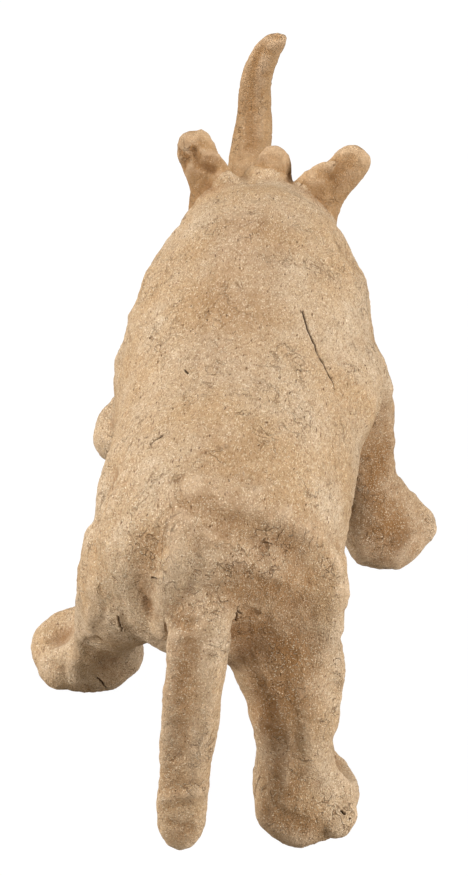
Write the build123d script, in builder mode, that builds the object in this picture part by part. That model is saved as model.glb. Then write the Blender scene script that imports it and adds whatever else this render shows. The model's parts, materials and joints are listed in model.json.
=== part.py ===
"""Papier-mache rhinoceros blank: moulded paper shells, rolled-paper horns and tail, card soles, pasted joints.

Millimetres. +Z is up, the animal faces -Y and its left side is +X. The origin is on the ground under the middle
of the figure. Every shell, horn, ear, leg and tail is a loft through elliptical rings.
"""
import os
from math import cos, radians, sin

from build123d import *

# ---- driving dimensions -------------------------------------------------------------------------------------
torso_length = 155.0  # rump to the front of the shoulders
torso_width = 74.0
torso_depth = 73.0  # back to belly at the deepest ring
belly_clearance = 26.5  # ground to the lowest point of the belly
torso_rump_y = 88.0

head_length = 75.0  # back of the skull to the tip of the muzzle
head_width = 49.0  # across the cheeks
head_depth = 46.0
head_yaw = 9.0  # the muzzle turns to the animal's left
skull_rise = 11.0  # middle of the skull above the middle of the torso
skull_overlap = 15.0  # how far the skull's first ring stands inside the shoulders

leg_spread = 1.0  # how far the legs splay, as a multiple of the real stance
foot_height = 7.0  # ground to the widest ring of a foot
tail_length = 71.0  # drop of the tail from inside the rump
tail_rise = 17.0  # root of the tail above the middle of the torso
nose_horn_length = 57.0  # with the part inside the muzzle
brow_horn_length = 19.0
ear_length = 27.0  # with the part inside the skull
eye_radius = 3.2

shell_wall = 3.0  # moulded pulp of the torso and head
leg_wall = 2.6
ear_wall = 1.8
sole_thickness = 2.0
sole_chamfer = 0.6
sole_inset = 1.2  # the sole is this much smaller than the widest ring of the foot
kraft_thickness = 0.45  # one pasted layer of kraft paper
paste_film = 0.06  # between a pasted strip and what it covers
joint_gap = 0.2  # glue clearance round every plugged joint
plug_reach = 4.0  # how far a plugged piece reaches past the wall inside a shell
leg_wrap_width = 7.0  # how far a pasted wrap runs out from its joint
neck_wrap_width = 5.0
seam_strip_width = 14.0
chin_strip_width = 8.4

# ---- ring outlines ------------------------------------------------------------------------------------------
# torso: share of the length from the rump, sideways lean, rise of the centre, shares of the width and depth
TORSO_RINGS = [
    (0.000, -1.0, 5.0, 0.14, 0.22),
    (0.022, -1.0, 4.5, 0.46, 0.50),
    (0.090, -0.5, 2.5, 0.78, 0.77),
    (0.220, -0.5, 1.0, 0.92, 0.92),
    (0.390, -1.3, -1.0, 0.94, 0.98),
    (0.565, -0.8, 0.0, 0.98, 1.00),
    (0.735, -0.5, 4.0, 0.98, 1.00),
    (0.860, -1.0, 8.0, 0.88, 0.92),
    (0.950, -1.0, 10.0, 0.64, 0.76),
    (1.000, -1.0, 10.0, 0.45, 0.56),
]
# head: share of the length from the skull, drop of the centre, shares of the width and depth
HEAD_RINGS = [
    (0.00, 0.0, 1.00, 1.02),
    (0.19, 1.0, 1.00, 1.00),
    (0.37, 4.5, 0.90, 0.89),
    (0.56, 12.0, 0.70, 0.74),
    (0.76, 21.0, 0.56, 0.61),
    (0.91, 28.0, 0.49, 0.54),
    (1.00, 31.0, 0.29, 0.35),
]
# horns: share of the length, steps across and along the head's axis point, half width and half length
NOSE_HORN = [
    (0.00, -0.8, 6.0, 7.4, 7.2),
    (0.28, -0.2, 0.0, 6.9, 7.2),
    (0.56, -1.0, -4.5, 5.7, 6.2),
    (0.80, -3.2, -6.5, 5.0, 5.0),
    (0.94, -6.6, -6.5, 4.3, 4.2),
    (1.00, -8.2, -5.5, 3.2, 2.8),
]
BROW_HORN = [
    (0.00, -3.5, 0.0, 7.6, 6.0),
    (0.55, -5.6, -1.0, 5.6, 5.0),
    (1.00, -7.4, -2.0, 4.0, 3.6),
]
# tail: share of the drop, sideways place, step behind the rump, half width, half length
TAIL = [
    (0.00, -2.0, -12.0, 8.0, 7.0),
    (0.11, -2.0, -2.0, 8.2, 8.0),
    (0.31, -0.6, 7.0, 7.7, 7.8),
    (0.55, 0.5, 14.0, 7.1, 7.4),
    (0.76, 1.3, 20.0, 6.5, 6.7),
    (0.93, 1.5, 24.0, 6.0, 6.2),
    (1.00, 1.5, 25.0, 3.6, 3.6),
]
# ear: share of the length, half width, half thickness; and its hollow
EAR_OUTLINE = [(0.00, 9.0, 5.6), (0.35, 7.2, 5.0), (0.70, 5.9, 4.6), (0.92, 4.9, 3.8), (1.00, 3.0, 2.4)]
EAR_HOLLOW = [(0.48, 2.2, 2.0), (0.62, 3.8, 3.2), (0.80, 3.8, 3.3), (0.92, 2.2, 2.0)]
ear_hollow_offset = ear_wall + 1.4  # the hollow's middle lies in front of the ear's own middle

# legs: knee, shank and ankle as shares of the drop from the thigh to the foot; then, for each leg, the thigh
# (inset from the torso's side, share of the torso's length, rise, half width, half length) and the steps out
# and back of knee, shank, ankle and foot with their half widths and half lengths
LEG_DROPS = {"knee": 0.30, "shank": 0.60, "ankle": 0.83, "foot": 1.00}
LEGS = {
    "rear_right": {
        "side": -1,
        "thigh": (19.5, 0.155, -5.0, 18.0, 19.0),
        "knee": (4.5, 10.0, 15.0, 16.5),
        "shank": (7.5, 20.0, 11.5, 13.0),
        "ankle": (9.6, 25.0, 11.3, 13.0),
        "foot": (11.8, 27.0, 14.8, 15.0),
    },
    "rear_left": {
        "side": 1,
        "thigh": (19.3, 0.168, -4.0, 18.5, 20.0),
        "knee": (4.0, -3.0, 15.5, 17.0),
        "shank": (10.5, -8.0, 12.0, 13.0),
        "ankle": (17.5, -12.0, 12.0, 13.0),
        "foot": (21.8, -14.5, 15.8, 14.5),
    },
    "front_right": {
        "side": -1,
        "thigh": (16.5, 0.775, 2.0, 16.5, 19.0),
        "knee": (10.0, 4.0, 12.6, 14.2),
        "shank": (15.5, 10.0, 10.0, 11.5),
        "ankle": (19.2, 14.6, 10.9, 12.0),
        "foot": (24.5, 17.0, 15.0, 14.5),
    },
    "front_left": {
        "side": 1,
        "thigh": (15.0, 0.788, 2.0, 16.0, 18.0),
        "knee": (9.0, -5.6, 12.2, 14.2),
        "shank": (13.4, -9.9, 10.0, 11.5),
        "ankle": (15.8, -12.8, 11.3, 12.0),
        "foot": (18.0, -15.0, 14.5, 14.5),
    },
}
thigh_taper = 0.5  # the top of a thigh, inside the torso, against the thigh itself
thigh_top = 10.0  # height of that top above the thigh's ring

# ---- places worked out from the sizes -----------------------------------------------------------------------
torso_mid = belly_clearance + torso_depth / 2
skull_y = torso_rump_y - torso_length + skull_overlap
skull_height = torso_mid + skull_rise
skull_top = skull_height + head_depth / 2

nose_horn_share, nose_horn_root = 0.8775, skull_height - 16.0  # along the head, and the root's height
brow_horn_share, brow_horn_root = 0.37, skull_top - 18.5
ear_root_y = skull_y - 20.0
EARS = {  # root and direction
    "left": (Vector(head_width / 2 - 9.0, ear_root_y, skull_top - 17.0), Vector(8.5, -8, 23.5)),
    "right": (Vector(12.5 - head_width / 2, ear_root_y, skull_top - 15.0), Vector(-17.5, -11, 18)),
}
eye_ring = HEAD_RINGS[3]  # where the cheeks end
eye_rise = 28.0  # degrees above the head's axis
eye_stand = 0.4  # the pellet's middle outside the cheek's surface


def torso_y(share):
    return torso_rump_y - share * torso_length


def head_axis(share):
    """Point on the head's yawed axis, on the ground plan."""
    reach = share * head_length
    return reach * sin(radians(head_yaw)), skull_y - reach * cos(radians(head_yaw))


# ---- solids -------------------------------------------------------------------------------------------------
def ring_loft(rings, grow=0.0):
    """One closed solid through elliptical rings: each a plane and two half widths, grown, or shrunk to a third."""
    with BuildPart() as body:
        for plane, half_a, half_b in rings:
            with BuildSketch(plane):
                Ellipse(max(half_a + grow, half_a / 3), max(half_b + grow, half_b / 3))
        loft()
    return body.part


def torso_solid(grow=0.0):
    middle = torso_y(0.5)
    stretch = 1 + 2 * grow / torso_length
    rings = []
    for share, lean, rise, width_share, depth_share in TORSO_RINGS:
        y = middle + (torso_y(share) - middle) * stretch
        plane = Plane((lean, y, torso_mid + rise), x_dir=(1, 0, 0), z_dir=(0, -1, 0))
        rings.append((plane, width_share * torso_width / 2, depth_share * torso_depth / 2))
    return ring_loft(rings, grow)


def head_solid(grow=0.0):
    forward = Vector(sin(radians(head_yaw)), -cos(radians(head_yaw)), 0)
    across = Vector(cos(radians(head_yaw)), sin(radians(head_yaw)), 0)
    stretch = 1 + 2 * grow / head_length
    rings = []
    for share, drop, width_share, depth_share in HEAD_RINGS:
        x, y = head_axis(0.5 + (share - 0.5) * stretch)
        plane = Plane((x, y, skull_height - drop), x_dir=across, z_dir=forward)
        rings.append((plane, width_share * head_width / 2, depth_share * head_depth / 2))
    return ring_loft(rings, grow)


def limb_solid(stations, grow=0.0, end_reach=0.0):
    """A leg, tail or horn through level rings (x, y, z, half width, half length), from the root to the tip."""
    last = len(stations) - 1
    rings = []
    for index, (x, y, z, half_x, half_y) in enumerate(stations):
        reach = end_reach * ((index == 0) - (index == last))
        rings.append((Plane((x, y, z + reach), x_dir=(1, 0, 0), z_dir=(0, 0, 1)), half_x, half_y))
    return ring_loft(rings, grow)


def leg_stations(leg):
    side = leg["side"]
    inset, share, rise, half_x, half_y = leg["thigh"]
    x, y, z = side * (torso_width / 2 - inset), torso_y(share), torso_mid + rise
    stations = [
        (x * 0.8, y, z + thigh_top, half_x * thigh_taper, half_y * thigh_taper),
        (x, y, z, half_x, half_y),
    ]
    for level, drop in LEG_DROPS.items():
        out, back, half_x, half_y = leg[level]
        stations.append((x + side * out * leg_spread, y + back, z - drop * (z - foot_height), half_x, half_y))
    foot_x, foot_y, _, half_x, half_y = stations[-1]
    stations.append((foot_x, foot_y, sole_thickness, half_x - sole_inset, half_y - sole_inset))
    return stations


def tail_stations():
    root_z = torso_mid + tail_rise
    return [(x, torso_rump_y + back, root_z - share * tail_length, a, b) for share, x, back, a, b in TAIL]


def horn_stations(outline, length, share_on_head, root_z):
    """Level rings from inside the head upwards."""
    head_x, head_y = head_axis(share_on_head)
    return [(head_x + x, head_y + y, root_z + share * length, a, b) for share, x, y, a, b in outline]


def ear_rings(side, outline, offset=0.0):
    """Rings across an ear from its root, moved towards the ear's front."""
    root, direction = EARS[side]
    axis = direction.normalized()
    across = Vector(0, -1, 0).cross(axis).normalized()
    front = axis.cross(across)
    middles = [root + axis * (share * ear_length) + front * offset for share, _, _ in outline]
    return [(Plane(middle, x_dir=across, z_dir=axis), a, b) for middle, (_, a, b) in zip(middles, outline)]


def pasted_wrap(skin, film, reach):
    """A band of kraft on a limb, from the torso outwards."""
    with BuildPart() as band:
        add(skin)
        add(torso_clear, mode=Mode.SUBTRACT)
        add(reach, mode=Mode.INTERSECT)
        add(film, mode=Mode.SUBTRACT)
    return band.part


torso_outer = torso_solid()
torso_inner = torso_solid(-shell_wall)
torso_core = torso_solid(-shell_wall - plug_reach)
torso_clear = torso_solid(joint_gap)
leg_wrap_reach = torso_solid(leg_wrap_width)
neck_wrap_reach = torso_solid(neck_wrap_width)
head_outer = head_solid()
head_inner = head_solid(-shell_wall)
head_core = head_solid(-shell_wall - plug_reach)
head_film = head_solid(paste_film)
head_skin = head_solid(paste_film + kraft_thickness)
nose_horn_stations = horn_stations(NOSE_HORN, nose_horn_length, nose_horn_share, nose_horn_root)
brow_horn_stations = horn_stations(BROW_HORN, brow_horn_length, brow_horn_share, brow_horn_root)

pieces = {}

# ---- torso: two moulded halves ------------------------------------------------------------------------------
for name, keep in (("left", Keep.TOP), ("right", Keep.BOTTOM)):
    with BuildPart() as torso_shell:
        add(torso_outer)
        add(torso_inner, mode=Mode.SUBTRACT)
        for leg in LEGS.values():
            add(limb_solid(leg_stations(leg), joint_gap), mode=Mode.SUBTRACT)
        add(limb_solid(tail_stations(), joint_gap), mode=Mode.SUBTRACT)
        split(bisect_by=Plane.YZ, keep=keep)
    pieces[f"torso_shell_{name}"] = torso_shell

# ---- head: two moulded halves, with its seam along the yawed axis -------------------------------------------
seam_plane = Plane((0, skull_y, 0), z_dir=(cos(radians(head_yaw)), sin(radians(head_yaw)), 0))
for name, keep in (("left", Keep.TOP), ("right", Keep.BOTTOM)):
    with BuildPart() as head_shell:
        add(head_outer)
        add(head_inner, mode=Mode.SUBTRACT)
        add(torso_clear, mode=Mode.SUBTRACT)
        add(limb_solid(nose_horn_stations, joint_gap), mode=Mode.SUBTRACT)
        add(limb_solid(brow_horn_stations, joint_gap), mode=Mode.SUBTRACT)
        for side in EARS:
            add(ring_loft(ear_rings(side, EAR_OUTLINE), joint_gap), mode=Mode.SUBTRACT)
        split(bisect_by=seam_plane, keep=keep)
    pieces[f"head_shell_{name}"] = head_shell

with BuildPart() as neck_wrap:
    add(pasted_wrap(head_skin, head_film, neck_wrap_reach))
    for side in EARS:
        add(ring_loft(ear_rings(side, EAR_OUTLINE), joint_gap), mode=Mode.SUBTRACT)
pieces["neck_wrap"] = neck_wrap

# ---- horns, ears and eyes -----------------------------------------------------------------------------------
for name, stations in (("nose_horn", nose_horn_stations), ("brow_horn", brow_horn_stations)):
    with BuildPart() as horn:
        add(limb_solid(stations))
        add(head_core, mode=Mode.SUBTRACT)
    pieces[name] = horn

for side in EARS:
    with BuildPart() as ear:
        add(ring_loft(ear_rings(side, EAR_OUTLINE)))
        add(ring_loft(ear_rings(side, EAR_HOLLOW, ear_hollow_offset)), mode=Mode.SUBTRACT)
        add(head_core, mode=Mode.SUBTRACT)
        add(torso_clear, mode=Mode.SUBTRACT)
    pieces[f"{side}_ear"] = ear

eye_share, eye_drop, cheek_width, cheek_depth = eye_ring
eye_x, eye_y = head_axis(eye_share)
eye_out = cheek_width * head_width / 2 * cos(radians(eye_rise)) + eye_stand
eye_z = skull_height - eye_drop + cheek_depth * head_depth / 2 * sin(radians(eye_rise))
for name, sign in (("left", 1), ("right", -1)):
    out_x, out_y = sign * eye_out * cos(radians(head_yaw)), sign * eye_out * sin(radians(head_yaw))
    with BuildPart() as eye:
        with Locations((eye_x + out_x, eye_y + out_y, eye_z)):
            Sphere(eye_radius)
        add(head_film, mode=Mode.SUBTRACT)
    pieces[f"{name}_eye"] = eye

# ---- legs, soles and their pasted wraps ---------------------------------------------------------------------
for name, leg in LEGS.items():
    stations = leg_stations(leg)
    with BuildPart() as leg_shell:
        add(limb_solid(stations))
        add(torso_core, mode=Mode.SUBTRACT)
        add(limb_solid(stations, -leg_wall, end_reach=1.0), mode=Mode.SUBTRACT)
    pieces[f"{name}_leg"] = leg_shell
    foot_x, foot_y, _, sole_a, sole_b = stations[-1]
    with BuildPart() as sole:
        with BuildSketch(Plane((foot_x, foot_y, 0))):
            Ellipse(sole_a, sole_b)
        extrude(amount=sole_thickness)
        chamfer(sole.edges().group_by(Axis.Z)[0], sole_chamfer)
    pieces[f"{name}_sole"] = sole
    with BuildPart() as wrap:
        leg_skin = limb_solid(stations, paste_film + kraft_thickness)
        add(pasted_wrap(leg_skin, limb_solid(stations, paste_film), leg_wrap_reach))
    pieces[f"{name}_wrap"] = wrap

# ---- tail ---------------------------------------------------------------------------------------------------
with BuildPart() as tail:
    add(limb_solid(tail_stations()))
    add(torso_core, mode=Mode.SUBTRACT)
pieces["tail"] = tail

with BuildPart() as tail_wrap:
    tail_skin = limb_solid(tail_stations(), paste_film + kraft_thickness)
    add(pasted_wrap(tail_skin, limb_solid(tail_stations(), paste_film), leg_wrap_reach))
pieces["tail_wrap"] = tail_wrap

# ---- pasted strips over the moulding seams ------------------------------------------------------------------
strip_y, strip_length = torso_y(0.5), torso_length * 0.6
for name, up in (("spine_strip", 1), ("belly_strip", -1)):
    with BuildPart() as strip:
        with Locations((0, strip_y, torso_mid + up * torso_depth * 0.5)):
            Box(seam_strip_width, strip_length, torso_depth * 0.5)
        add(torso_solid(paste_film + kraft_thickness), mode=Mode.INTERSECT)
        add(torso_solid(paste_film), mode=Mode.SUBTRACT)
    pieces[name] = strip

chin_x, chin_y = head_axis(0.62)
with BuildPart() as chin_strip:
    with Locations(Location((chin_x, chin_y, skull_height - head_depth * 0.76), (0, 0, head_yaw))):
        Box(chin_strip_width, head_length * 0.5, head_depth * 0.87)
    add(head_skin, mode=Mode.INTERSECT)
    add(head_film, mode=Mode.SUBTRACT)
pieces["chin_strip"] = chin_strip

# ---- the figure is moved over its origin and written --------------------------------------------------------
boxes = [piece.part.bounding_box() for piece in pieces.values()]
low_x, high_x = min(box.min.X for box in boxes), max(box.max.X for box in boxes)
low_y, high_y = min(box.min.Y for box in boxes), max(box.max.Y for box in boxes)
to_origin = Location((-(low_x + high_x) / 2, -(low_y + high_y) / 2, 0))
print("moved by", to_origin.position, "size", high_x - low_x, high_y - low_y)

os.makedirs("parts", exist_ok=True)
for name, piece in pieces.items():
    piece.part = piece.part.moved(to_origin)
    piece.part.label = name
    print(name, [round(solid.volume) for solid in piece.part.solids()])
    export_step(piece.part, f"parts/{name}.step")
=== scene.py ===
"""Papier-mache rhinoceros blank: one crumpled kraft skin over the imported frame, cut into its pieces."""

import json
import math

import bpy
import numpy as np
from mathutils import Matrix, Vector, noise
from mathutils.bvhtree import BVHTree

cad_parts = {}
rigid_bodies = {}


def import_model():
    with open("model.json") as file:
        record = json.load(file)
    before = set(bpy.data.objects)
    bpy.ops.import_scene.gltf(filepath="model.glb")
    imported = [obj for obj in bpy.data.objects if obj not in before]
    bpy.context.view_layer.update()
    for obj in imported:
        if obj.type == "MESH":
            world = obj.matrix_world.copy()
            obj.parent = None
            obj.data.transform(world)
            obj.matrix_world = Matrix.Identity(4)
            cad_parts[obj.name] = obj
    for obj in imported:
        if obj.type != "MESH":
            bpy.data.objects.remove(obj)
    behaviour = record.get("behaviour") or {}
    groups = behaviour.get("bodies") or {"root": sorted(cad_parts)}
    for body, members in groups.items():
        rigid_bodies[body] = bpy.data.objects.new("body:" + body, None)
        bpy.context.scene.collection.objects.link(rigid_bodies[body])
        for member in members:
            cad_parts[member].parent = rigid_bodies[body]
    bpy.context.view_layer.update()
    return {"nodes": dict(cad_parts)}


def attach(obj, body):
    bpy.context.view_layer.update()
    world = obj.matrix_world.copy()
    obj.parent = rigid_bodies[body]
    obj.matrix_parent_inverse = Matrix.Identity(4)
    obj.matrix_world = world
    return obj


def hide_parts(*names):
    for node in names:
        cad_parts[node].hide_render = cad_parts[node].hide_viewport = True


bl_info = {
    "name": "Kraft Rhinoceros Blank",
    "version": (1, 0, 0),
    "blender": (4, 5, 0),
    "location": "View3D > Sidebar > Rhinoceros",
    "description": "Dresses the packed rhinoceros in a crumpled kraft-paper skin",
    "category": "Object",
}

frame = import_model()
MM = 0.001
NODES = frame["nodes"]
EYES = ("left_eye", "right_eye")


# ---- small helpers -------------------------------------------------------------------------------
def settings():
    return bpy.context.scene.rhino_paper


def deselect():
    if bpy.context.mode != "OBJECT":
        bpy.ops.object.mode_set(mode="OBJECT")
    bpy.ops.object.select_all(action="DESELECT")


def activate(piece):
    deselect()
    piece.select_set(True)
    bpy.context.view_layer.objects.active = piece


def apply_modifier(piece, kind, **values):
    activate(piece)
    modifier = piece.modifiers.new(kind, kind)
    for key, value in values.items():
        setattr(modifier, key, value)
    bpy.ops.object.modifier_apply(modifier=modifier.name)


def copy_of(node):
    piece = bpy.data.objects.new(node + "_cast", NODES[node].data.copy())
    bpy.context.scene.collection.objects.link(piece)
    activate(piece)
    bpy.ops.object.mode_set(mode="EDIT")
    bpy.ops.mesh.select_all(action="SELECT")
    bpy.ops.mesh.remove_doubles(threshold=0.00001)
    bpy.ops.object.mode_set(mode="OBJECT")
    return piece


def join(pieces):
    deselect()
    for piece in pieces:
        piece.select_set(True)
    bpy.context.view_layer.objects.active = pieces[0]
    bpy.ops.object.join()
    return bpy.context.object


def coordinates(piece):
    flat = np.empty(len(piece.data.vertices) * 3, np.float32)
    piece.data.vertices.foreach_get("co", flat)
    return flat.reshape(-1, 3).astype(float)


def normals(piece):
    flat = np.empty(len(piece.data.vertices) * 3, np.float32)
    piece.data.vertices.foreach_get("normal", flat)
    return flat.reshape(-1, 3).astype(float)


def place_vertices(piece, points):
    piece.data.vertices.foreach_set("co", points.astype(np.float32).ravel())
    piece.data.update()


def keep_attribute(piece, name, values):
    layer = piece.data.attributes.get(name) or piece.data.attributes.new(name, "FLOAT", "POINT")
    layer.data.foreach_set("value", values.astype(np.float32))


# ---- the modeller's hand -------------------------------------------------------------------------
# Balls of pulp added before the skin is drawn: centre and half sizes (mm), and turns (degrees).
PULP_BALLS = (
    ((3, -71, 92), (7, 5.5, 5), (0, 0, 0)),
    ((0, -74, 96), (4.5, 5, 7.5), (5, -6, 0)),
    ((18, -70, 96), (3, 2, 8), (0, 42, 0)),
    ((-13, -70, 95), (3, 2, 9), (0, -56, 0)),
    ((-12, -68, 92), (5, 3, 5), (0, 0, 0)),
    ((15, -66, 92), (5, 3, 5), (0, 0, 0)),
    ((-36, 103, 6), (6, 8, 5), (0, 0, 20)),
    ((46, 60, 6), (9, 8, 7), (0, 0, 30)),
    ((-47, -3, 6), (9, 9, 6), (0, 0, 0)),
)

# Each row: how wide (mm), how far out (mm, or a shift in x, y, z), and the line that the thumb followed.
THUMBED = (
    # rump: a ridge into the tail, a valley beside the left haunch, a flat plane on the right
    (5.5, 1.9, ((7, 83, 91), (8, 90, 84), (10, 92, 71), (11, 91, 60))),
    (8, -1.2, ((15, 86, 85), (17, 89, 78), (16, 91, 68))),
    (6.5, 1.7, ((4, 74, 95), (-8, 75, 92), (-21, 74, 84), (-28, 72, 71))),
    (8, -1.5, ((-5, 84, 90), (-15, 82, 85), (-25, 78, 75))),
    (6, 0.9, ((5, 75, 95), (10, 82, 91))),
    (14, -1.4, ((-12, 88, 80), (-20, 85, 72))),
    (12, -1.8, ((-13, 90, 68), (-21, 86, 64))),
    (6, 1.4, ((-29, 72, 70), (-30, 79, 60), (-31, 85, 50))),
    (11, -1.3, ((-9, 91, 59), (-15, 90, 52), (-22, 89, 54))),
    # rear right leg: flat inner side, narrow groove, rounded calf, pinched ankle
    (9, -0.8, ((-16, 95, 41), (-18, 100, 31))),
    (3, -0.5, ((-21, 94, 45), (-23, 97, 39), (-25, 100, 30), (-26, 103, 24), (-24, 107, 16))),
    (7, 0.5, ((-28, 92, 43), (-29, 97, 33), (-30, 101, 24))),
    (6, -1.0, ((-36, 94, 24), (-38, 91, 23))),
    (8, (1.8, 0.6, -3.2), ((-39, 86, 13), (-38, 89, 14))),
    (6, (-1.4, 0, 0), ((-33, 94, 25), (-33, 91, 30))),
    (7, (0.9, 0, 0), ((-41, 103, 5),)),
    (7, (-0.9, 0, 0), ((-13, 101, 8),)),
    (7, (1.8, 0, 0), ((-34, 87, 40),)),
    (10, (-2.2, 0, 0), ((-33, 76, 66), (-33, 80, 56))),
    (4, 0.8, ((-37, 97, 14), (-39, 99, 10), (-39, 104, 7))),
    (5, -0.9, ((-22, 109, 10), (-26, 111, 9))),
    (9, 1.8, ((-18, 109, 4), (-25, 112, 3))),
    (9, (-3.0, 0, 0), ((-9, 92, 42), (-10, 93, 37))),
    (8, -1.0, ((-26, 111, 9), (-30, 106, 17))),
    # rear left leg: two faces that meet in an edge
    (7, -1.6, ((33, 70, 24), (31, 64, 9))),
    (3.5, 1.1, ((31, 82, 55), (35, 75, 39), (40, 68, 28), (42, 67, 16), (42, 66, 4))),
    (9, -0.8, ((50, 55, 18), (54, 56, 14))),
    (12, (-0.6, 1.4, -5.6), ((48, 53, 18), (43, 58, 26))),
    (10, (-2.4, 1.5, 0), ((30, 63, 6), (26, 57, 9))),
    (12, (-3.2, 0, 0), ((37, 74, 62), (36, 66, 72), (33, 58, 80))),
    # tail: long faces with an edge down the right
    (4, 0.9, ((-3, 102, 67), (-2, 108, 55), (0, 114, 41), (0, 119, 29))),
    (4, -0.9, ((3, 103, 67), (4, 109, 55), (5, 115, 40))),
    (4, 0.7, ((8, 101, 67), (9, 107, 55), (10, 114, 36))),
    (3, -0.7, ((7, 97, 70), (3, 98, 71))),
    (2.5, 0.6, ((9, 118, 25), (5, 119, 28), (1, 118, 30))),
    (8, (-0.7, 0, 0), ((-3, 106, 60), (-2, 116, 30))),
    # shoulders, flanks and neck
    (11, (0.8, 0, 0), ((34, -22, 84), (37, -6, 78))),
    (16, (-4.6, 0, 0), ((-40, -16, 58), (-38, -4, 66), (-37, 8, 72))),
    (9, 0.9, ((4, -26, 103), (4, -9, 102))),
    (8, (-1.2, 0, -0.6), ((29, -32, 90), (25, -34, 94))),
    (8, (1.6, 0, -1.0), ((-25, -36, 91), (-28, -37, 87))),
    (7, 0.7, ((24, -56, 82), (25, -50, 82))),
    (8, 1.4, ((-20, -66, 80), (-22, -56, 82))),
    (10, -0.9, ((37, 22, 70), (36, 34, 70))),
    # front legs
    (12, (-5.0, 0, 0), ((44, -27, 48), (43, -22, 56))),
    (8, -0.9, ((-46, 2, 14), (-42, 3, 6))),
    (8, -1.2, ((-38, -10, 41), (-42, -6, 31))),
    (8, 1.2, ((50, -34, 6), (52, -38, 4))),
    (10, (-1.8, 0, -2.4), ((50, -38, 17),)),
    (11, (1.0, 3.0, 0), ((-38, 3, 4), (-46, 3, 4))),
    (6, 1.5, ((-57, -12, 9), (-58, -9, 6))),
    # head: cheeks, jaw, brows and mouth
    (9, 1.2, ((17, -86, 62), (15, -96, 58))),
    (9, 1.2, ((-15, -86, 62), (-13, -96, 58))),
    (3, -1.0, ((17, -104, 58), (10, -122, 55), (1, -124, 54), (-8, -122, 55), (-15, -104, 58))),
    # ears and horns
    (9, (1.2, 0, 0), ((29, -72, 97),)),
    (8, (1.2, 0, 0.6), ((-22, -72, 99),)),
    (5, (0.8, 0, -0.9), ((22, -72, 103),)),
    (10, (3.0, 0, -2.2), ((0, -74, 99),)),
    (6, -0.9, ((1, -76, 99),)),
    (20, (0.9, 0, 0), ((10, -113, 104),)),
    (6, (-1.0, 0, 0), ((27, -68, 86),)),
    (3.5, -0.5, ((10, -115, 110), (12, -113, 101), (12, -107, 80))),
    (3, 0.5, ((8, -113, 108), (8, -110, 98), (8, -106, 84))),
    (2.2, -1.4, ((30, -72, 99), (27, -69, 98), (29, -70, 94))),
    (2, -1.2, ((25, -70, 101), (24, -68, 97), (19, -68, 95))),
    (4, -0.9, ((-19, -71, 98), (-24, -72, 99))),
)

# Folds of loose paper: width, depth, line.
FOLDS = (
    (1.8, -0.52, ((24, 67, 88), (28, 65, 84), (29, 69, 82), (29, 73, 80))),
    (1.6, 0.33, ((25, 69, 88), (27, 68, 85))),
    (1.5, -0.39, ((29, 83, 65), (27, 85, 61), (28, 84, 55))),
    (1.4, -0.33, ((24, 87, 66), (22, 88, 62), (22, 87, 57))),
    (1.6, -0.39, ((19, 89, 73), (17, 90, 70), (15, 91, 64))),
    (1.3, -0.33, ((26, 85, 65), (25, 86, 60))),
    (1.6, -0.39, ((34, 76, 40), (30, 75, 36))),
    (1.6, -0.39, ((36, 73, 33), (31, 73, 30))),
    (1.5, -0.39, ((-8, 92, 71), (-12, 90, 67), (-16, 89, 63))),
    (1.3, -0.33, ((-10, 90, 81), (-13, 89, 79))),
    (1.3, -0.33, ((-14, 90, 70), (-17, 88, 71))),
    (1.3, -0.26, ((-21, 72, 85), (-25, 69, 80))),
    (1.3, -0.26, ((5, 67, 96), (9, 69, 95))),
    (1.6, -0.39, ((-17, 99, 33), (-20, 104, 20))),
    (1.5, -0.39, ((-15, 101, 20), (-18, 106, 10))),
    (1.5, -0.39, ((6, 121, 20), (1, 121, 20))),
    (1.3, -0.33, ((6, 112, 47), (3, 113, 45))),
    (1.4, -0.33, ((8, -116, 112), (5, -115, 110))),
)

# Slits and splits where the paper opened as it dried: width (mm), line. All have one depth and lip (mm).
SLITS = (
    (0.65, ((-15, 1, 96), (-17, 6, 94), (-21, 13, 91), (-26, 20, 85))),
    (0.42, ((14, 29, 95), (13, 31, 96))),
    (0.42, ((19, 57, 93), (16, 55, 94))),
    (0.42, ((24, 52, 89), (25, 54, 88))),
    (0.42, ((24, 87, 59), (23, 85, 53))),
    (0.42, ((14, 90, 78), (12, 91, 79))),
    (0.42, ((34, 71, 25), (30, 71, 27))),
    (0.42, ((36, 66, 9), (34, 64, 4))),
    (0.42, ((-37, 105, 9), (-39, 105, 5))),
    (0.42, ((-15, 101, 16), (-13, 101, 8))),
    (0.42, ((-8, 92, 70), (-8, 92, 66))),
    (0.42, ((-9, 92, 71), (-10, 92, 68))),
)
SLIT_DEPTH = 0.9
SLIT_LIP = 0.25
SLIT_LIP_WIDTH = 1.3
SLIT_REFINED = 1.2

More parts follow.
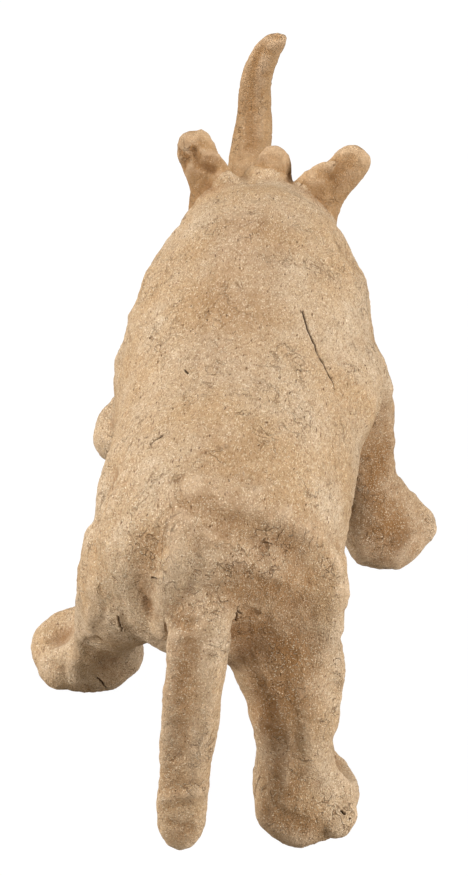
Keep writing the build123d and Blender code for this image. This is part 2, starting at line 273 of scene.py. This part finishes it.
# Browner pulp and painted shade on rump, feet and shaded legs: width (mm), strength, line.
STAINS_AND_SHADE = (
    (20, 0.65, ((3, -24, 103), (4, -6, 102), (3, 8, 100))),
    (16, 0.4, ((6, 16, 99), (4, 30, 98))),
    (14, 0.35, ((2, 60, 97), (-6, 66, 95))),
    (15, 0.8, ((3, 80, 93), (-8, 80, 90), (-20, 78, 82))),
    (17, 1.0, ((-10, 88, 78), (-20, 84, 72), (-18, 88, 62))),
    (9, 0.9, ((5, 97, 72), (4, 102, 66), (5, 109, 55))),
    (7, 0.9, ((3, 122, 18),)),
    (9, 0.75, ((4, 109, 55), (5, 118, 30))),
    (17, 1.15, ((-12, 91, 62), (-20, 90, 52), (-18, 98, 36))),
    (9, 0.8, ((28, -71, 97), (24, -69, 98))),
    (8, 0.6, ((-22, -71, 96), (-19, -70, 95))),
    (5, 0.8, ((10, -115, 110), (12, -112, 98), (12, -107, 80))),
    (11, 0.9, ((-28, 111, 8), (-20, 109, 10), (-22, 104, 22))),
    (20, 1.15, ((-46, 2, 10), (-40, -4, 26), (-38, -8, 42))),
    (8, 0.5, ((33, 70, 20), (31, 64, 8))),
    (8, 0.6, ((15, 86, 85), (17, 89, 78), (16, 91, 68))),
)


def stains_and_shade(skin):
    """How strongly each vertex is darkened: browner pulp, and painted shade on the rump, feet and shaded legs."""
    tree, points, out = skin_tree(skin), coordinates(skin), normals(skin)
    brown = np.zeros(len(points))
    for width, strength, path in STAINS_AND_SHADE:
        near, share = closeness(points, out, laid_line(tree, path, 2.0), width)
        brown[near] = np.maximum(brown[near], share * strength)
    return brown


def radians(turn):
    return tuple(math.radians(angle) for angle in turn)


def pulp_ball(centre, size, turn):
    deselect()
    bpy.ops.mesh.primitive_uv_sphere_add(segments=32, ring_count=20, radius=1, location=Vector(centre) * MM,
                                         rotation=radians(turn), scale=Vector(size) * MM)
    bpy.ops.object.transform_apply(location=True, rotation=True, scale=True)
    return bpy.context.object


def laid_line(tree, path, step=0.5):
    """Close points along this path, laid on the skin, with the skin's direction at each."""
    stops, line = [Vector(point) * MM for point in path], []
    for start, end in zip(stops, stops[1:] or stops):
        count = max(1, int((end - start).length / (step * MM)))
        line += [start.lerp(end, i / count) for i in range(count + 1)]
    hits = [tree.find_nearest(point) for point in line]
    return np.array([hit[0] for hit in hits]), np.array([hit[1] for hit in hits])


def closeness(points, out, line, width, one_side=True):
    """Vertices near a line, and their share of its press: 1 on the line, 0 at its width away."""
    where, facing = line
    width *= MM
    near = np.flatnonzero(((points > where.min(0) - width) & (points < where.max(0) + width)).all(1))
    gaps = np.linalg.norm(points[near, None] - where[None], axis=2)
    share = np.clip(1 - (gaps.min(1) / width) ** 2, 0, 1) ** 2
    if one_side:
        share *= np.clip(2 * (out[near] * facing[gaps.argmin(1)]).sum(1) + 0.3, 0, 1)
    return near, share


def skin_tree(skin):
    return BVHTree.FromPolygons([v.co for v in skin.data.vertices], [f.vertices for f in skin.data.polygons])


def thumb(skin, rows):
    """Presses each row's form into the skin."""
    tree = skin_tree(skin)
    points, out = coordinates(skin), normals(skin)
    moved = points.copy()
    for width, height, path in rows:
        shift = isinstance(height, tuple)
        near, share = closeness(points, out, laid_line(tree, path), width, not shift)
        moved[near] += share[:, None] * MM * (np.array(height) if shift else out[near] * height)
    moved[:, 2] = np.maximum(moved[:, 2], 0.0)
    place_vertices(skin, moved)


def open_slits(skin):
    """Refines the skin along each slit and cuts it in; returns how deep in a slit each vertex lies."""
    tree = skin_tree(skin)
    lines = [(width, laid_line(tree, path, 0.2)) for width, path in SLITS]
    centres = np.array([face.center for face in skin.data.polygons])
    out = np.array([face.normal for face in skin.data.polygons])
    close = np.zeros(len(centres), bool)
    for _, line in lines:
        near, share = closeness(centres, out, line, SLIT_REFINED)
        close[near[share > 0]] = True
    activate(skin)
    bpy.ops.object.mode_set(mode="EDIT")
    bpy.ops.mesh.select_mode(type="FACE")
    bpy.ops.mesh.select_all(action="DESELECT")
    bpy.ops.object.mode_set(mode="OBJECT")
    skin.data.polygons.foreach_set("select", close)
    bpy.ops.object.mode_set(mode="EDIT")
    bpy.ops.mesh.subdivide(number_cuts=2)
    bpy.ops.object.mode_set(mode="OBJECT")
    points, out = coordinates(skin), normals(skin)
    depth = np.zeros(len(points))
    moved = points.copy()
    for width, line in lines:
        near, share = closeness(points, out, line, SLIT_LIP_WIDTH)
        moved[near] += out[near] * share[:, None] * SLIT_LIP * MM
        near, share = closeness(points, out, line, width)
        moved[near] -= out[near] * share[:, None] * SLIT_DEPTH * MM
        depth[near] = np.maximum(depth[near], share)
    place_vertices(skin, moved)
    return depth


def hollows(skin, passes):
    """How far (mm) each vertex sits below the skin that this many smoothing passes would leave."""
    edges = np.empty(len(skin.data.edges) * 2, np.int32)
    skin.data.edges.foreach_get("vertices", edges)
    edges = edges.reshape(-1, 2)
    points, out = coordinates(skin), normals(skin)
    count = np.bincount(edges.ravel(), minlength=len(points)).astype(float)[:, None]

    def average(values):
        total = np.zeros_like(values)
        np.add.at(total, edges[:, 0], values[edges[:, 1]])
        np.add.at(total, edges[:, 1], values[edges[:, 0]])
        return total / np.maximum(count, 1)

    smooth = points
    for _ in range(passes):
        smooth = average(smooth)
    dip = ((smooth - points) * out).sum(1)[:, None]
    for _ in range(2):
        dip = average(dip)
    return dip[:, 0] / MM


# ---- skin ----------------------------------------------------------------------------------------
def cast_skin():
    """All the outer pieces and balls, drawn together under one skin; the inner surfaces are thrown away."""
    casts = [copy_of(node) for node in NODES if node not in EYES]
    skin = join(casts + [pulp_ball(*row) for row in PULP_BALLS])
    skin.name = "skin"
    apply_modifier(skin, "REMESH", mode="VOXEL", voxel_size=settings().voxel)
    top = max(range(len(skin.data.vertices)), key=lambda i: skin.data.vertices[i].co.z)
    bpy.ops.object.mode_set(mode="EDIT")
    bpy.ops.mesh.select_all(action="DESELECT")
    bpy.ops.object.mode_set(mode="OBJECT")
    skin.data.vertices[top].select = True
    bpy.ops.object.mode_set(mode="EDIT")
    bpy.ops.mesh.select_linked()
    bpy.ops.mesh.select_all(action="INVERT")
    bpy.ops.mesh.delete(type="VERT")
    bpy.ops.object.mode_set(mode="OBJECT")
    return skin


def node_tree(names):
    """One search tree over these nodes, and the node that each of its faces belongs to."""
    points, faces, owners = [], [], []
    for index, name in enumerate(names):
        mesh = NODES[name].data
        start = len(points)
        points += [v.co.copy() for v in mesh.vertices]
        for face in mesh.polygons:
            faces.append([start + v for v in face.vertices])
            owners.append(index)
    return BVHTree.FromPolygons(points, faces), owners


def soften_joints(skin):
    """Rounds the hollow where each limb meets the body, and round the brow horn."""
    wraps = [n for n in NODES if n.endswith("_wrap")] + ["brow_horn"]
    tree, _ = node_tree(wraps)
    reach = settings().joint_blend
    weights = []
    for vertex in skin.data.vertices:
        hit = tree.find_nearest(vertex.co, reach)
        weights.append(0.0 if hit[0] is None else 1.0 - (hit[3] / reach) ** 2)
    group = skin.vertex_groups.new(name="joints")
    for index, weight in enumerate(weights):
        if weight > 0.02:
            group.add([index], weight, "REPLACE")
    apply_modifier(skin, "SMOOTH", factor=0.9, iterations=settings().joint_passes, vertex_group="joints")
    skin.vertex_groups.clear()
    apply_modifier(skin, "SMOOTH", factor=0.5, iterations=4)


def label_faces(skin):
    """The CAD node that each face of the skin stands for, with ragged borders evened out."""
    names = [n for n in sorted(NODES) if n not in EYES]
    tree, owners = node_tree(names)
    mesh = skin.data
    labels = np.array([owners[tree.find_nearest(face.center)[2]] for face in mesh.polygons])
    edge_faces = {}
    for face in mesh.polygons:
        for key in face.edge_keys:
            edge_faces.setdefault(key, []).append(face.index)
    pairs = np.array([pair for pair in edge_faces.values() if len(pair) == 2])
    for _ in range(8):
        votes = np.zeros((len(labels), len(names)), np.int16)
        votes[np.arange(len(labels)), labels] += 1
        np.add.at(votes, (pairs[:, 0], labels[pairs[:, 1]]), 1)
        np.add.at(votes, (pairs[:, 1], labels[pairs[:, 0]]), 1)
        labels = votes.argmax(1)
    return names, labels


def rising(values, low, high):
    """0 up to low, 1 from high."""
    return np.clip((values - low) / (high - low), 0, 1)


def smoothness(points):
    """1 along the top of the back, on the tail and on the nose, which were rubbed smooth, 0 elsewhere."""
    x, y, z = points.T / MM
    back = rising(z, 84, 92) * rising(-y, -68, -54)
    tail = rising(y, 94, 100) * rising(-abs(x - 1), -12, -8)
    nose = rising(-y, 100, 106)
    return np.maximum(back, np.maximum(tail, nose))


def crumple(skin):
    """Soft lumps, dents and wrinkles of pulp that dried as it was pressed."""
    points, out = coordinates(skin), normals(skin)
    loose = 1.0 - 0.55 * smoothness(points)
    moves = np.empty(len(points))
    for index, point in enumerate(points):
        p = Vector(point)
        broad = noise.noise(p * 55.0)
        planes = abs(noise.noise(p * 95.0 + Vector((5, 1, 8))))
        lumps = noise.noise(p * 170.0 + Vector((7, 3, 1)))
        crinkle = abs(noise.noise(p * 300.0 + Vector((2, 9, 4)) + Vector((broad, lumps, 0))))
        grain = noise.noise(p * 800.0)
        moves[index] = loose[index] * (0.5 * broad + 1.1 * (0.2 - planes) + 0.2 * lumps)
        moves[index] += 0.5 * (0.15 - crinkle) + 0.1 * grain
    points += out * (moves * MM)[:, None]
    points[:, 2] = np.maximum(points[:, 2], 0.0)
    place_vertices(skin, points)


def cut_pieces(skin, names, labels):
    """Cuts the skin along the real pieces' borders."""
    mesh = skin.data
    mesh.materials.clear()
    for name in names:
        mesh.materials.append(bpy.data.materials.new("cut_" + name))
    mesh.polygons.foreach_set("material_index", labels.astype(np.int32))
    activate(skin)
    bpy.ops.object.mode_set(mode="EDIT")
    bpy.ops.mesh.select_all(action="SELECT")
    bpy.ops.mesh.separate(type="MATERIAL")
    bpy.ops.object.mode_set(mode="OBJECT")
    for piece in list(bpy.context.selected_objects):
        piece.name = piece.data.materials[piece.data.polygons[0].material_index].name[4:] + "_paper"
        piece.data.materials.clear()


def dress(names, paper):
    """Gives these cut pieces their wall and paper, and puts each in its node's place."""
    for name in names:
        piece = bpy.data.objects[name + "_paper"]
        apply_modifier(piece, "SOLIDIFY", thickness=settings().wall, offset=-1.0)
        activate(piece)
        bpy.ops.object.shade_smooth_by_angle(angle=math.radians(50))
        piece.data.materials.append(paper)
        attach(piece, "root")
        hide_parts(name)


# ---- materials -----------------------------------------------------------------------------------
def linear(red, green, blue):
    """A colour from its 0 to 255 display values."""
    def one(value):
        value /= 255
        return value / 12.92 if value <= 0.04045 else ((value + 0.055) / 1.055) ** 2.4
    return one(red), one(green), one(blue), 1.0


class Nodes:
    """A material's node tree, written line by line."""

    def __init__(self, name):
        self.material = bpy.data.materials.new(name)
        self.material.use_nodes = True
        self.tree = self.material.node_tree
        self.shader = self.tree.nodes["Principled BSDF"]
        self.place = self.tree.nodes.new("ShaderNodeTexCoord").outputs["Object"]

    def node(self, kind, inputs=(), **values):
        made = self.tree.nodes.new(kind)
        for key, value in values.items():
            setattr(made, key, value)
        for key, value in dict(inputs).items():
            socket = made.inputs[key]
            if isinstance(value, bpy.types.NodeSocket):
                self.tree.links.new(value, socket)
            else:
                socket.default_value = value
        return made

    def math(self, operation, a, b=0.5, clamp=False):
        return self.node("ShaderNodeMath", {0: a, 1: b}, operation=operation, use_clamp=clamp).outputs[0]

    def ramp(self, value, low, high):
        """0 below low, 1 above high."""
        made = self.node("ShaderNodeMapRange", {"Value": value, "From Min": low, "From Max": high})
        return made.outputs[0]

    def noise(self, scale, detail=2.0, rough=0.5, place=None, distortion=0.0):
        made = self.node("ShaderNodeTexNoise", {
            "Vector": place or self.place, "Scale": scale, "Detail": detail,
            "Roughness": rough, "Distortion": distortion})
        return made.outputs["Fac"]

    def value(self, attribute):
        return self.node("ShaderNodeAttribute", attribute_name=attribute).outputs["Fac"]

    def mix(self, share, low, high):
        made = self.node("ShaderNodeMix", {0: share, 6: low, 7: high}, data_type="RGBA")
        return made.outputs[2]

    def tint(self, colour, mask, strength, tone):
        """The colour, taken this strongly toward a tone where the mask is 1."""
        return self.mix(self.math("MULTIPLY", mask, strength), colour, tone)

    def turned(self, place, turn, size, start=(0, 0, 0)):
        """Coordinates turned (degrees) and measured in cells of this size (mm)."""
        turned = self.node("ShaderNodeMapping", {"Vector": place, "Rotation": radians(turn)})
        stretch = tuple(1 / (side * MM) for side in size)
        scaled = self.node("ShaderNodeMapping", {"Vector": turned.outputs[0], "Location": start, "Scale": stretch})
        return scaled.outputs[0]

    def threads(self, turns, size, low, high, place):
        """Short threads lying several ways: thin slabs of noise, whose cut with the surface is a line."""
        felt = None
        for turn in turns:
            slabs = self.noise(1.0, detail=0.0, place=self.turned(place, turn, size))
            layer = self.ramp(slabs, low, high)
            felt = layer if felt is None else self.math("MAXIMUM", felt, layer)
        return felt


PALE_TURNS = ((0, 0, 20), (25, 40, 75), (-30, 15, 130), (60, -25, 0))
DARK_TURNS = ((10, -20, 50), (-15, 30, 105), (40, 10, 160))
PALE_THREAD = (0.17, 1.3, 1.3)
DARK_THREAD = (0.16, 1.1, 1.1)
STRAW, BARK = linear(226, 200, 158), linear(140, 104, 68)
# Tones of the browner pulp with its painted shade, and of painted shade in creases and hollows.
STAIN_AND_SHADE, CREASE_SHADE, HOLLOW_SHADE = linear(150, 110, 68), linear(120, 84, 50), linear(140, 98, 58)
# Painted shade in dents, painted highlight on ridges, and painted shade inside the slits.
DENT_SHADE, RIDGE_HIGHLIGHT, SLIT_SHADE = linear(132, 94, 58), linear(226, 200, 170), linear(58, 36, 20)

# Needle-shaped bits in the pulp: turns, width (mm), how rare, colour, strength.
FLECKS = (
    ((90, 0, 10), 0.42, 0.72, linear(122, 88, 56), 0.55),
    ((80, 0, 75), 0.42, 0.72, linear(126, 92, 58), 0.55),
    ((95, 0, 135), 0.34, 0.68, linear(134, 100, 64), 0.5),
    ((30, 30, 0), 0.3, 0.66, linear(138, 104, 68), 0.45),
    ((85, 0, 40), 0.34, 0.8, linear(238, 222, 194), 0.5),
    ((92, 0, 115), 0.34, 0.8, linear(238, 220, 190), 0.5),
    ((20, 60, 30), 0.3, 0.88, linear(250, 238, 212), 0.6),
    ((88, 0, 160), 0.55, 0.955, linear(88, 58, 34), 0.85),
)


FLECK_LENGTH = 3.2

# Other papers than the pulp: pale and deep colour, and how strongly threads and flecks show.
PAPERS = {
    "rolled_paper": (linear(194, 158, 117), linear(164, 126, 85), 0.4),
    "face_paper": (linear(202, 172, 136), linear(180, 146, 106), 0.5),
    "sole_card": (linear(186, 158, 124), linear(160, 128, 92), 1.0),
    "eye_paper": (linear(190, 158, 122), linear(150, 118, 84), 1.0),
}


def flecked(n, colour, place, contrast):
    """The colour with flecks strewn in it: a few of the cells that fill each direction."""
    for seed, (turn, size, share, tone, strength) in enumerate(FLECKS):
        grid = n.turned(place, turn, (size, size, size * FLECK_LENGTH), (seed, 0, 0))
        cells = n.node("ShaderNodeTexVoronoi", {"Vector": grid, "Scale": 1.0, "Randomness": 1.0})
        drawn = n.node("ShaderNodeSeparateColor", {0: cells.outputs["Color"]}).outputs[0]
        rare = n.ramp(drawn, share, share + 0.01)
        near = n.ramp(cells.outputs["Distance"], 0.46, 0.26)
        colour = n.tint(colour, n.math("MULTIPLY", rare, near), strength * contrast, tone)
    return colour


def kraft(name, pale, deep, contrast=1.0):
    """Unbleached pulp: mottled ground, a felt of fine threads, flecks, painted shade in creases, hollows, dents
    and slits, and painted highlight on ridges.
    """
    n = Nodes(name)
    bend = n.node("ShaderNodeTexNoise", {"Vector": n.place, "Scale": 420.0, "Detail": 1.0}).outputs["Color"]
    bent = n.node("ShaderNodeVectorMath", {0: bend, 1: (0.0012, 0.0012, 0.0012)}, operation="MULTIPLY")
    wavy = n.node("ShaderNodeVectorMath", {0: n.place, 1: bent.outputs[0]}, operation="ADD").outputs[0]
    mottle = n.ramp(n.noise(48.0, 5.0, 0.6), 0.38, 0.64)
    patch = n.ramp(n.noise(300.0, 4.0, 0.65), 0.38, 0.66)
    grain = n.noise(1900.0, 2.0, 0.6)
    light = n.threads(PALE_TURNS, PALE_THREAD, 0.58, 0.74, wavy)
    dark = n.threads(DARK_TURNS, DARK_THREAD, 0.60, 0.76, wavy)
    colour = n.tint(n.mix(mottle, deep, pale), patch, 0.30, deep)
    colour = n.tint(colour, light, 0.28 * contrast, STRAW)
    colour = n.tint(colour, dark, 0.34 * contrast, BARK)
    colour = n.tint(colour, n.ramp(grain, 0.48, 0.66), 0.22 * contrast, BARK)

    uneven = n.ramp(n.noise(130.0, 4.0, 0.65), 0.34, 0.62)
    # Browner pulp patches, with painted shade on the rump, feet and shaded legs.
    stained_and_shaded = n.math("MULTIPLY", n.value("brown"), n.math("ADD", n.math("MULTIPLY", uneven, 0.5), 0.5))
    colour = n.tint(colour, stained_and_shaded, 0.85, STAIN_AND_SHADE)
    # Painted shade along fine creases; the bump below sinks the same creases.
    valleys = n.math("ABSOLUTE", n.math("SUBTRACT", n.noise(210.0, 2.0, 0.5, wavy, 0.6), 0.5))
    crease = n.math("MULTIPLY", n.ramp(valleys, 0.016, 0.004), n.ramp(n.noise(90.0, 2.0), 0.50, 0.60))
    colour = n.tint(colour, crease, 0.45, CREASE_SHADE)
    colour = flecked(n, colour, wavy, contrast)

    dip = n.value("dip")
    # Painted shade in broad hollows.
    colour = n.tint(colour, n.ramp(n.value("shade"), 0.1, 1.6), 0.45, HOLLOW_SHADE)
    # Painted shade in small dents and painted highlight on small ridges.
    colour = n.tint(colour, n.ramp(dip, 0.02, 0.28), 0.55, DENT_SHADE)
    colour = n.tint(colour, n.ramp(dip, -0.03, -0.3), 0.35, RIDGE_HIGHLIGHT)
    # Painted shade inside the slits.
    colour = n.tint(colour, n.ramp(n.value("slit"), 0.25, 0.75), 0.9, SLIT_SHADE)
    n.tree.links.new(colour, n.shader.inputs["Base Color"])
    n.shader.inputs["Roughness"].default_value = 0.92
    n.shader.inputs["Specular IOR Level"].default_value = 0.2

    height = n.math("ADD", n.math("MULTIPLY", light, 0.35), n.math("MULTIPLY", grain, 0.9))
    height = n.math("ADD", height, n.math("MULTIPLY", n.noise(600.0, 3.0, 0.6), 1.2))
    height = n.math("SUBTRACT", height, n.math("MULTIPLY", crease, 1.2))
    bump = n.node("ShaderNodeBump", {"Strength": 1.0, "Distance": 0.0004, "Height": height})
    n.tree.links.new(bump.outputs[0], n.shader.inputs["Normal"])
    return n.material


# ---- settings ------------------------------------------------------------------------------------
class RhinoPaper(bpy.types.PropertyGroup):
    """Sizes and colours of the paper skin."""
    voxel: bpy.props.FloatProperty(
        name="Skin grain", description="Size of the skin's cells", default=0.7 * MM, unit="LENGTH")
    joint_blend: bpy.props.FloatProperty(
        name="Joint blend", description="How far a joint's hollow is rounded", default=9 * MM, unit="LENGTH")
    joint_passes: bpy.props.IntProperty(
        name="Joint passes", description="How often joints are smoothed", default=25)
    wall: bpy.props.FloatProperty(
        name="Paper wall", description="Thickness of the moulded paper", default=1.4 * MM, unit="LENGTH")
    pale: bpy.props.FloatVectorProperty(
        name="Pale pulp", description="Colour of the pale pulp", subtype="COLOR", size=4,
        default=linear(206, 184, 157))
    deep: bpy.props.FloatVectorProperty(
        name="Deep pulp", description="Colour of the dark pulp", subtype="COLOR", size=4,
        default=linear(188, 156, 119))


class RHINO_OT_skin(bpy.types.Operator):
    """Draw one kraft skin over the frame, work it by hand and cut it into pieces"""
    bl_idname = "rhino.skin"
    bl_label = "Kraft Skin"

    def execute(self, context):
        skin = cast_skin()
        soften_joints(skin)
        crumple(skin)
        thumb(skin, THUMBED + FOLDS)
        slits = open_slits(skin)
        names, labels = label_faces(skin)
        # How deep in a slit each vertex lies, for painted shade in the slits.
        keep_attribute(skin, "slit", slits)
        # Depths of small dips and of broad hollows, which the paper turns into painted shade and highlight.
        keep_attribute(skin, "dip", hollows(skin, passes=6))
        keep_attribute(skin, "shade", hollows(skin, passes=120))
        # Strength of browner pulp and of painted shade at each vertex.
        keep_attribute(skin, "brown", stains_and_shade(skin))
        cut_pieces(skin, names, labels)
        kraft("pulp_paper", tuple(settings().pale), tuple(settings().deep))
        kraft("rolled_paper", *PAPERS["rolled_paper"])
        return {"FINISHED"}


class RHINO_OT_torso(bpy.types.Operator):
    """Dress the two torso halves and the bands and strips pasted over them"""
    bl_idname = "rhino.torso"
    bl_label = "Torso"

    def execute(self, context):
        bands = [name for name in NODES if name.endswith(("_wrap", "_strip"))]
        dress(["torso_shell_left", "torso_shell_right"] + bands, bpy.data.materials["pulp_paper"])
        return {"FINISHED"}


class RHINO_OT_head(bpy.types.Operator):
    """Dress the two head halves in smoother paper"""
    bl_idname = "rhino.head"
    bl_label = "Head"

    def execute(self, context):
        dress(["head_shell_left", "head_shell_right"], kraft("face_paper", *PAPERS["face_paper"]))
        return {"FINISHED"}


class RHINO_OT_horns(bpy.types.Operator):
    """Dress the nose horn and the brow horn in rolled paper"""
    bl_idname = "rhino.horns"
    bl_label = "Horns"

    def execute(self, context):
        dress(["nose_horn", "brow_horn"], bpy.data.materials["rolled_paper"])
        return {"FINISHED"}


class RHINO_OT_ears(bpy.types.Operator):
    """Dress the two ears in rolled paper"""
    bl_idname = "rhino.ears"
    bl_label = "Ears"

    def execute(self, context):
        dress(["left_ear", "right_ear"], bpy.data.materials["rolled_paper"])
        return {"FINISHED"}


class RHINO_OT_legs(bpy.types.Operator):
    """Dress the four legs"""
    bl_idname = "rhino.legs"
    bl_label = "Legs"

    def execute(self, context):
        dress([name for name in NODES if name.endswith("_leg")], bpy.data.materials["pulp_paper"])
        return {"FINISHED"}


class RHINO_OT_soles(bpy.types.Operator):
    """Dress the four soles in card"""
    bl_idname = "rhino.soles"
    bl_label = "Soles"

    def execute(self, context):
        soles = [name for name in NODES if name.endswith("_sole")]
        dress(soles, kraft("sole_card", *PAPERS["sole_card"]))
        return {"FINISHED"}


class RHINO_OT_tail(bpy.types.Operator):
    """Dress the tail"""
    bl_idname = "rhino.tail"
    bl_label = "Tail"

    def execute(self, context):
        dress(["tail"], bpy.data.materials["pulp_paper"])
        return {"FINISHED"}


class RHINO_OT_eyes(bpy.types.Operator):
    """Give the eye pellets their paper"""
    bl_idname = "rhino.eyes"
    bl_label = "Eyes"

    def execute(self, context):
        paper = kraft("eye_paper", *PAPERS["eye_paper"])
        for name in EYES:
            NODES[name].data.materials.clear()
            NODES[name].data.materials.append(paper)
        return {"FINISHED"}


# Softboxes: place (m), size (m), power (W), colour. All face a point inside the body.
SOFTBOXES = {
    "left_softbox": ((0.85, 0.2, 0.35), 0.4, 9.2, (1.0, 1.0, 1.0)),
    "right_softbox": ((-0.85, 0.28, 0.35), 0.4, 9.2, (1.0, 1.0, 1.0)),
    "top_softbox": ((0.05, -0.35, 1.1), 0.7, 10.4, (1.0, 0.99, 0.98)),
    "rear_softbox": ((0.1, 0.9, 0.8), 0.6, 2.2, (1.0, 0.95, 0.88)),
}
LIT_POINT = Vector((0, 0, 0.05))
FLOOR_SIZE = 6.0
FLOOR_DROP = 0.2 * MM
ROOM_COLOUR, ROOM_STRENGTH = (1.0, 0.88, 0.74, 1), 0.12
WHITE = (1, 1, 1, 1)

# The camera: what it looks at, its turn round the figure, its rise, its distance and its lens (mm).
CAMERA_TARGET = Vector((3.7, 5.18, 50.4)) * MM
CAMERA_TURN, CAMERA_RISE = math.radians(187), math.radians(42)
CAMERA_REACH = 520 * MM
SENSOR_HEIGHT, LENS = 36, 72.205


def area_light(name, place, size, watts, tint):
    deselect()
    bpy.ops.object.light_add(type="AREA", location=place)
    lamp = bpy.context.object
    lamp.name = name
    lamp.data.size = size
    lamp.data.energy = watts
    lamp.data.color = tint
    lamp.rotation_euler = (Vector(place) - LIT_POINT).to_track_quat("Z", "Y").to_euler()


def white_floor():
    """A floor that looks white, yet takes the figure's shadow and gives back little light."""
    deselect()
    bpy.ops.mesh.primitive_plane_add(size=FLOOR_SIZE, location=(0, 0, -FLOOR_DROP))
    floor = bpy.context.object
    floor.name = "floor"
    bpy.ops.object.transform_apply(location=True)
    n = Nodes("floor_white")
    ray = n.node("ShaderNodeLightPath").outputs
    seen = n.math("MAXIMUM", ray["Is Camera Ray"], ray["Is Glossy Ray"])
    seen = n.math("MAXIMUM", seen, ray["Is Transmission Ray"])
    paper = n.node("ShaderNodeBsdfDiffuse", {"Color": (0.30, 0.27, 0.23, 1)})
    glow = n.node("ShaderNodeEmission", {"Color": WHITE, "Strength": 1.1})
    share = n.math("MULTIPLY", seen, 0.9)
    blend = n.node("ShaderNodeMixShader", {0: share, 1: paper.outputs[0], 2: glow.outputs[0]})
    n.tree.links.new(blend.outputs[0], n.tree.nodes["Material Output"].inputs["Surface"])
    floor.data.materials.append(n.material)
    return floor


def white_room(scene):
    """A world that lights the figure dimly and warmly, and looks white."""
    world = bpy.data.worlds.new("studio")
    scene.world = world
    world.use_nodes = True
    nodes, links = world.node_tree.nodes, world.node_tree.links
    room, white = nodes["Background"], nodes.new("ShaderNodeBackground")
    room.inputs["Color"].default_value = ROOM_COLOUR
    room.inputs["Strength"].default_value = ROOM_STRENGTH
    white.inputs["Color"].default_value = WHITE
    ray, choice = nodes.new("ShaderNodeLightPath"), nodes.new("ShaderNodeMixShader")
    links.new(ray.outputs["Is Camera Ray"], choice.inputs[0])
    links.new(room.outputs[0], choice.inputs[1])
    links.new(white.outputs[0], choice.inputs[2])
    links.new(choice.outputs[0], nodes["World Output"].inputs["Surface"])


class RHINO_OT_stage(bpy.types.Operator):
    """Set the floor, lights and camera"""
    bl_idname = "rhino.stage"
    bl_label = "Stage"

    def execute(self, context):
        scene = context.scene
        floor = white_floor()
        white_room(scene)
        for name, values in SOFTBOXES.items():
            area_light(name, *values)
        level = math.cos(CAMERA_RISE)
        back = Vector((math.sin(CAMERA_TURN) * level, -math.cos(CAMERA_TURN) * level, math.sin(CAMERA_RISE)))
        bpy.ops.object.camera_add(
            location=CAMERA_TARGET + back * CAMERA_REACH, rotation=back.to_track_quat("Z", "Y").to_euler())
        camera = context.object
        camera.data.sensor_fit = "VERTICAL"
        camera.data.sensor_height = SENSOR_HEIGHT
        camera.data.lens = LENS
        scene.camera = camera
        scene.view_settings.view_transform = "Standard"
        return {"FINISHED"}


class RHINO_PT_panel(bpy.types.Panel):
    """Buttons that make the figure, in order"""
    bl_label = "Kraft Rhinoceros"
    bl_idname = "RHINO_PT_panel"
    bl_space_type = "VIEW_3D"
    bl_region_type = "UI"
    bl_category = "Rhinoceros"

    def draw(self, context):
        for name in RhinoPaper.__annotations__:
            self.layout.prop(settings(), name)
        for operator in OPERATORS:
            self.layout.operator(operator.bl_idname)


OPERATORS = (RHINO_OT_skin, RHINO_OT_torso, RHINO_OT_head, RHINO_OT_horns, RHINO_OT_ears, RHINO_OT_legs,
             RHINO_OT_soles, RHINO_OT_tail, RHINO_OT_eyes, RHINO_OT_stage)
CLASSES = (RhinoPaper, *OPERATORS, RHINO_PT_panel)


def register():
    for cls in CLASSES:
        bpy.utils.register_class(cls)
    bpy.types.Scene.rhino_paper = bpy.props.PointerProperty(type=RhinoPaper)


def unregister():
    del bpy.types.Scene.rhino_paper
    for cls in reversed(CLASSES):
        bpy.utils.unregister_class(cls)


def main():
    register()
    bpy.ops.rhino.skin()
    bpy.ops.rhino.torso()
    bpy.ops.rhino.head()
    bpy.ops.rhino.horns()
    bpy.ops.rhino.ears()
    bpy.ops.rhino.legs()
    bpy.ops.rhino.soles()
    bpy.ops.rhino.tail()
    bpy.ops.rhino.eyes()
    bpy.ops.rhino.stage()


if __name__ == "__main__":
    main()
